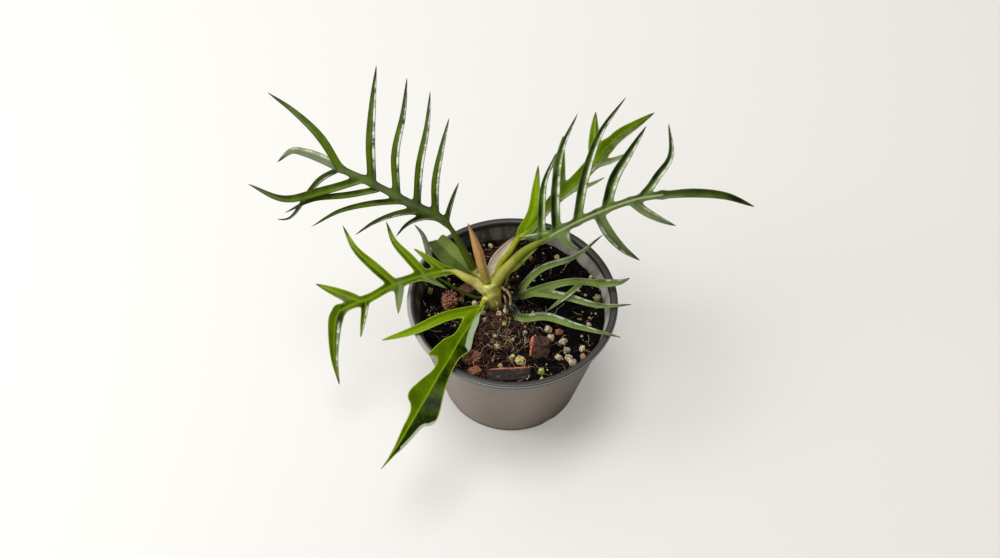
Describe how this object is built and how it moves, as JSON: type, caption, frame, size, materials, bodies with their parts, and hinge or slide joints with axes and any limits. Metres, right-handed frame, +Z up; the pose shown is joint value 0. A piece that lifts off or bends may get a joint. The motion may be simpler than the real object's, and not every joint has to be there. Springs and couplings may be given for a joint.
{
  "type": "potted philodendron tortum",
  "caption": "Young philodendron with narrow finger-lobed leaves fanning from a short stem, in a thin tapered nursery pot of bark mix.",
  "frame": {"origin": "middle of the pot's foot, on the surface that it stands on", "axes": "+Z up; -Y towards the viewer of the picture, +X to the right"},
  "size_m": [0.2594, 0.1881, 0.1425],
  "materials": {
    "pot_plastic": "satin",
    "potting_mix": "rough",
    "coir": "fibrous",
    "bark": "rough",
    "green_stem": "satin",
    "leaf": "satin",
    "young_shoot": "satin",
    "dry_sheath": "matte"
  },
  "bodies": {
    "root": {"pot": "pot_plastic", "soil": "potting_mix", "coir_lump_left": "coir", "coir_lump_front": "coir", "bark_chip_back": "bark", "bark_plate": "bark", "bark_strip": "bark", "bark_chip_front": "bark", "stem": "green_stem", "leaf_a": "leaf", "leaf_b": "leaf", "leaf_c": "leaf", "leaf_d": "leaf", "leaf_e": "leaf", "leaf_f": "leaf", "leaf_g": "leaf", "leaf_h": "leaf", "shoot": "young_shoot", "sheath": "dry_sheath", "bract": "leaf"}
  },
  "joints": []
}
